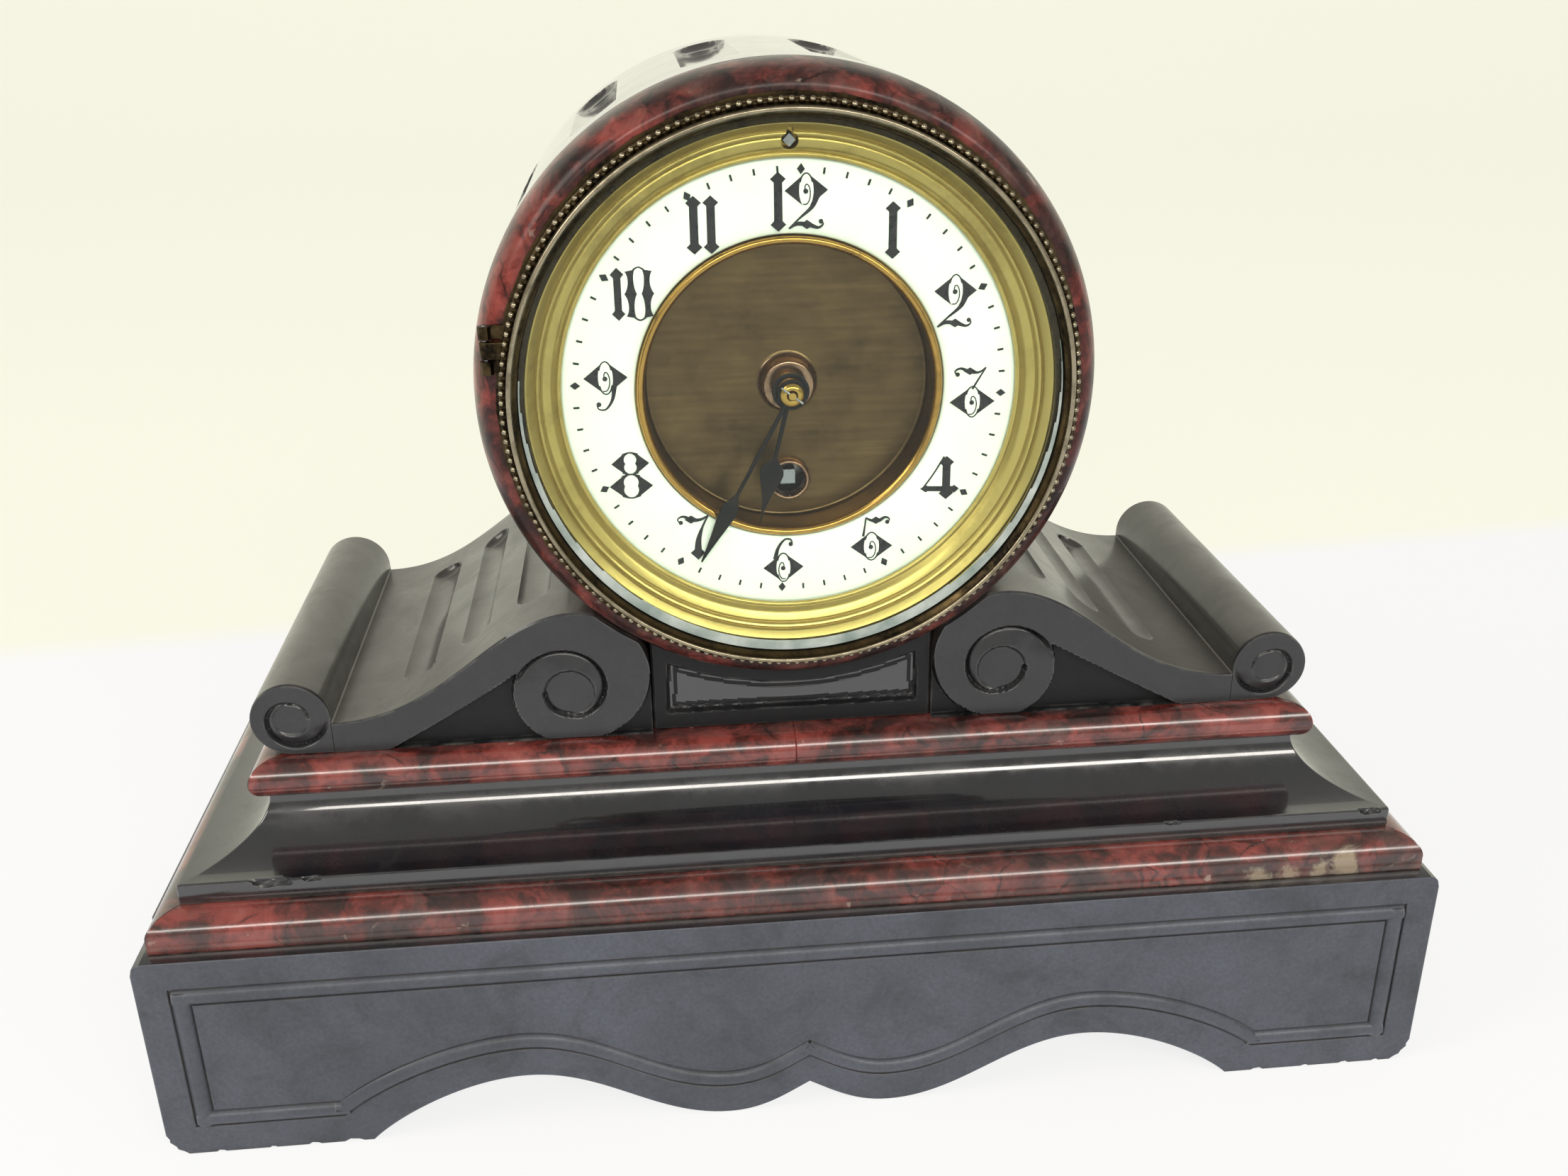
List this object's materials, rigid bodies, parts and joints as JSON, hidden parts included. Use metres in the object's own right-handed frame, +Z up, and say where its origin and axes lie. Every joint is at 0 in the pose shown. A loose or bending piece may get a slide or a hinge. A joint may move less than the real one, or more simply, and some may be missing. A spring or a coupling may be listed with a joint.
{
  "type": "mantel clock",
  "caption": "Slate mantel clock with marble bands, carved scrolls and a round drum; hinged glass bezel, moving hands and a pendulum movement inside.",
  "frame": {"origin": "centre of the footprint on the shelf, under the middle of the plinth", "axes": "+X to the viewer's right along the plinth, +Y from the dial towards the back, +Z up"},
  "size_m": [0.33, 0.139, 0.2604],
  "materials": {
    "slate": "honed black slate, polished on the tops and the hollow moulding",
    "marble": "polished red-brown marble with dark patches and pale veins",
    "aged_brass": "aged dark brass, satin",
    "gilt": "bright yellow gilt brass",
    "enamel": "glossy greenish-white enamel",
    "glass": "clear bevelled glass",
    "black_steel": "blackened steel",
    "steel": "plain steel",
    "brass": "plain brass"
  },
  "bodies": {
    "case": {"plinth_front": "slate", "plinth_left": "slate", "plinth_right": "slate", "plinth_back": "slate", "plinth_bed": "slate", "lower_band_front": "marble", "lower_band_left": "marble", "lower_band_right": "marble", "cavetto_block": "slate", "upper_band_front_left": "marble", "upper_band_front_right": "marble", "upper_band_left": "marble", "upper_band_right": "marble", "upper_band_core": "slate", "left_scroll": "slate", "right_scroll": "slate", "saddle_block": "slate", "drum_body": "slate", "drum_ring": "marble", "dial_pan": "aged_brass", "sight_ring": "gilt", "enamel_ring": "enamel", "dial_plate": "brass", "centre_disc": "aged_brass", "winding_grommet": "brass", "bezel_hinge_pin": "steel", "front_plate": "brass", "back_plate": "brass", "pillar_1": "brass", "pillar_2": "brass", "pillar_3": "brass", "pillar_4": "brass", "pendulum_cock": "brass", "rear_bezel": "aged_brass", "rear_hinge_pin": "steel", "strap_left": "brass", "strap_right": "brass"},
    "bezel": {"bezel_frame": "aged_brass", "bezel_glass": "glass"},
    "back_door": {"rear_cover": "brass"},
    "minute_group": {"minute_hand": "black_steel", "cannon_pinion": "steel"},
    "hour_group": {"hour_hand": "black_steel", "hour_wheel": "brass"},
    "minute_wheel_group": {"minute_wheel": "brass"},
    "centre_group": {"centre_wheel": "brass", "hand_collet": "brass"},
    "barrel_group": {"barrel": "brass", "mainspring": "steel"},
    "intermediate_group": {"intermediate_wheel": "brass"},
    "third_group": {"third_wheel": "brass"},
    "escape_group": {"escape_wheel": "brass"},
    "winding_group": {"winding_arbor": "steel"},
    "click_group": {"click": "steel"},
    "pallet_group": {"pallets": "steel"},
    "regulator_group": {"regulating_arbor": "steel"},
    "suspension_group": {"suspension_block": "brass"},
    "pendulum_group": {"pendulum": "steel", "pendulum_bob": "brass"}
  },
  "joints": [
    {"name": "bezel_hinge", "type": "hinge", "parent": "case", "child": "bezel", "pos_m": [-0.0693, -0.0436, 0.2002], "axis": [0, 0, -1], "range_deg": [0, 110]},
    {"name": "back_door_hinge", "type": "hinge", "parent": "case", "child": "back_door", "pos_m": [0.062, 0.06825, 0.1862], "axis": [0, 0, -1], "range_deg": [0, 110]},
    {"name": "minute_hand_turn", "type": "hinge", "parent": "case", "child": "minute_group", "pos_m": [0, -0.039, 0.1862], "axis": [0, 1, 0], "continuous": true},
    {"name": "hour_hand_turn", "type": "hinge", "parent": "case", "child": "hour_group", "pos_m": [0, -0.037, 0.1862], "axis": [0, 1, 0], "continuous": true},
    {"name": "minute_wheel_turn", "type": "hinge", "parent": "case", "child": "minute_wheel_group", "pos_m": [-0.01039, -0.0205, 0.1922], "axis": [0, 1, 0], "continuous": true},
    {"name": "escape_wheel_turn", "type": "hinge", "parent": "case", "child": "escape_group", "pos_m": [0, 0.004, 0.2122], "axis": [0, 1, 0], "continuous": true},
    {"name": "third_wheel_turn", "type": "hinge", "parent": "case", "child": "third_group", "pos_m": [0.0071, -0.005, 0.20009], "axis": [0, 1, 0], "continuous": true},
    {"name": "centre_wheel_turn", "type": "hinge", "parent": "case", "child": "centre_group", "pos_m": [0, -0.014, 0.1862], "axis": [0, 1, 0], "continuous": true},
    {"name": "intermediate_wheel_turn", "type": "hinge", "parent": "case", "child": "intermediate_group", "pos_m": [-0.01273, 0.007, 0.17634], "axis": [0, 1, 0], "continuous": true},
    {"name": "barrel_turn", "type": "hinge", "parent": "case", "child": "barrel_group", "pos_m": [0, -0.002, 0.1619], "axis": [0, 1, 0], "continuous": true},
    {"name": "winding_turn", "type": "hinge", "parent": "case", "child": "winding_group", "pos_m": [0, -0.02, 0.1619], "axis": [0, 1, 0], "range_deg": [0, 1980]},
    {"name": "click_lift", "type": "hinge", "parent": "case", "child": "click_group", "pos_m": [0.012, -0.0197, 0.1529], "axis": [0, -1, 0], "range_deg": [0, 12], "stiffness_Nm_per_rad": 0.004, "springref_deg": -5.73},
    {"name": "regulator_turn", "type": "hinge", "parent": "case", "child": "regulator_group", "pos_m": [0, 0, 0.2434], "axis": [0, 1, 0], "range_deg": [-720, 720]},
    {"name": "suspension_slide", "type": "slide", "parent": "case", "child": "suspension_group", "axis": [0, 0, 1], "range_m": [-0.001, 0.001]},
    {"name": "pendulum_swing", "type": "hinge", "parent": "suspension_group", "child": "pendulum_group", "pos_m": [0, 0.0225, 0.2272], "axis": [0, 1, 0], "range_deg": [-4, 4]},
    {"name": "pallet_rock", "type": "hinge", "parent": "case", "child": "pallet_group", "pos_m": [0, 0.01, 0.2272], "axis": [0, 1, 0], "range_deg": [-4, 4]}
  ],
  "couplings": [
    {"joint": "hour_hand_turn", "follows": "minute_hand_turn", "ratio": 0.083333},
    {"joint": "minute_wheel_turn", "follows": "minute_hand_turn", "ratio": -0.33333},
    {"joint": "third_wheel_turn", "follows": "escape_wheel_turn", "ratio": -0.083333},
    {"joint": "centre_wheel_turn", "follows": "escape_wheel_turn", "ratio": 0.0069444},
    {"joint": "intermediate_wheel_turn", "follows": "escape_wheel_turn", "ratio": -0.0011574},
    {"joint": "barrel_turn", "follows": "escape_wheel_turn", "ratio": 0.0001929},
    {"joint": "regulator_turn", "follows": "suspension_slide", "rad_per_m": 12566},
    {"joint": "pallet_rock", "follows": "pendulum_swing", "ratio": 1}
  ]
}
